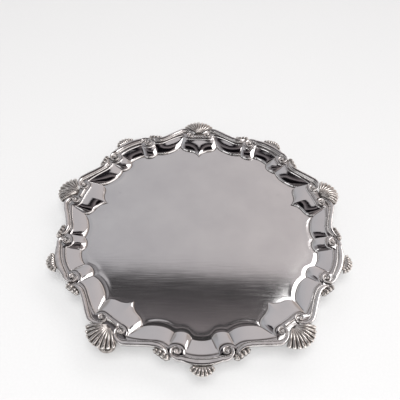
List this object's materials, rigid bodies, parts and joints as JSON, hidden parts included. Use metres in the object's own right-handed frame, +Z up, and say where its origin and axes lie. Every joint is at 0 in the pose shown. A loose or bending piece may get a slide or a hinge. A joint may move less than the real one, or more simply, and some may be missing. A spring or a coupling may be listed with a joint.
{
  "type": "silver salver",
  "caption": "Round footed serving tray with a lobed raised rim, scroll border and fluted shells, free-standing on short cast feet.",
  "frame": {"origin": "centre of the flat serving face, where the five lobes' axes meet", "axes": "+Z up out of the serving face; a large shell lies on +Y, and a small shell on -Y at the front"},
  "size_m": [0.29, 0.3, 0.0287],
  "materials": {
    "tray_silver": "satin polished silver sheet, finely scratched by use",
    "border_silver": "bright polished cast silver",
    "shell_silver": "polished cast silver with brown toning in the hollows",
    "foot_silver": "polished cast silver"
  },
  "bodies": {
    "root": {"tray_plate": "tray_silver", "large_shell_1": "shell_silver", "large_shell_2": "shell_silver", "large_shell_3": "shell_silver", "large_shell_4": "shell_silver", "large_shell_5": "shell_silver", "small_shell_1": "shell_silver", "small_shell_2": "shell_silver", "small_shell_3": "shell_silver", "small_shell_4": "shell_silver", "small_shell_5": "shell_silver", "arch_scroll_1": "border_silver", "arch_scroll_2": "border_silver", "arch_scroll_3": "border_silver", "arch_scroll_4": "border_silver", "arch_scroll_5": "border_silver", "left_scroll_1": "border_silver", "left_scroll_2": "border_silver", "left_scroll_3": "border_silver", "left_scroll_4": "border_silver", "left_scroll_5": "border_silver", "right_scroll_1": "border_silver", "right_scroll_2": "border_silver", "right_scroll_3": "border_silver", "right_scroll_4": "border_silver", "right_scroll_5": "border_silver", "left_leaf_1": "shell_silver", "left_leaf_2": "shell_silver", "left_leaf_3": "shell_silver", "left_leaf_4": "shell_silver", "left_leaf_5": "shell_silver", "right_leaf_1": "shell_silver", "right_leaf_2": "shell_silver", "right_leaf_3": "shell_silver", "right_leaf_4": "shell_silver", "right_leaf_5": "shell_silver", "shell_bar_1": "border_silver", "shell_bar_2": "border_silver", "shell_bar_3": "border_silver", "shell_bar_4": "border_silver", "shell_bar_5": "border_silver", "foot_1": "foot_silver", "foot_2": "foot_silver", "foot_3": "foot_silver"}
  },
  "joints": []
}
